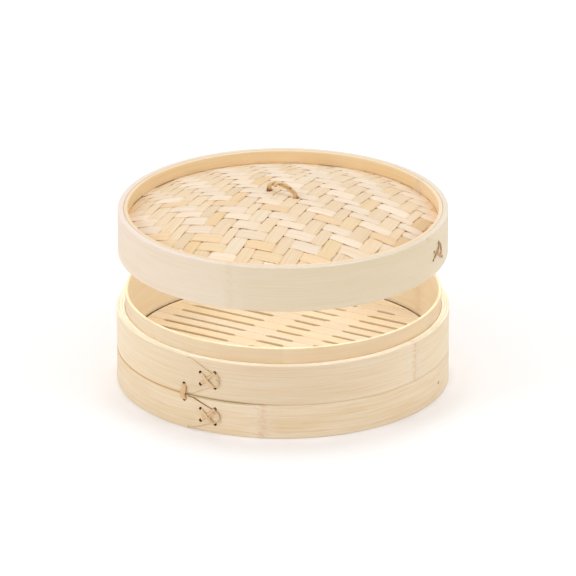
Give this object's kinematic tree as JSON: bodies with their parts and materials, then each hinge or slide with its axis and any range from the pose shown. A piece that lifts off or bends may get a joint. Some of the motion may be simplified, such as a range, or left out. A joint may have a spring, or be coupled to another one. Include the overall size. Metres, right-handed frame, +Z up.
{
  "type": "bamboo steamer",
  "caption": "Round bamboo steamer: a banded basket with a slatted floor and a stepped rim, and a lid with a woven domed panel and a cane loop handle, shown lifted off its seat.",
  "frame": {"origin": "centre of the basket's foot, on the surface it stands on", "axes": "+Z up; -Y towards the front, as pictured; +X to the right"},
  "size_m": [0.2492, 0.2488, 0.1545],
  "materials": {
    "band_bamboo": "planed split bamboo, natural",
    "hoop_bamboo": "planed bamboo, natural",
    "slat_bamboo": "sawn bamboo, natural",
    "woven_bamboo": "woven bamboo splints, natural",
    "lace_cane": "split cane",
    "dark_cane": "split cane, browned",
    "loop_cane": "twisted cane"
  },
  "bodies": {
    "basket": {"inner_hoop": "hoop_bamboo", "lower_band": "band_bamboo", "upper_band": "band_bamboo", "lower_lacing": "lace_cane", "upper_lacing": "lace_cane", "band_tie": "lace_cane", "band_nail": "dark_cane", "support_hoop": "hoop_bamboo", "batten_1": "slat_bamboo", "batten_2": "slat_bamboo", "slat_01": "slat_bamboo", "slat_02": "slat_bamboo", "slat_03": "slat_bamboo", "slat_04": "slat_bamboo", "slat_05": "slat_bamboo", "slat_06": "slat_bamboo", "slat_07": "slat_bamboo", "slat_08": "slat_bamboo", "slat_09": "slat_bamboo", "slat_10": "slat_bamboo", "slat_11": "slat_bamboo", "slat_12": "slat_bamboo", "slat_13": "slat_bamboo", "slat_14": "slat_bamboo", "slat_15": "slat_bamboo", "slat_16": "slat_bamboo", "slat_17": "slat_bamboo", "slat_18": "slat_bamboo", "slat_19": "slat_bamboo"},
    "lid": {"lid_wall": "band_bamboo", "lid_lacing": "dark_cane", "lid_upper_hoop": "hoop_bamboo", "lid_lower_hoop": "hoop_bamboo", "woven_panel": "woven_bamboo"},
    "handle": {"handle_loop": "loop_cane"}
  },
  "joints": [
    {"name": "lid_lift", "type": "slide", "parent": "basket", "child": "lid", "axis": [0, 0, 1], "range_m": [-0.0427, 0.06]},
    {"name": "handle_lean", "type": "hinge", "parent": "lid", "child": "handle", "pos_m": [0, 0, 0.14456], "axis": [0.7955, -0.606, 0], "range_deg": [-30, 30]}
  ]
}
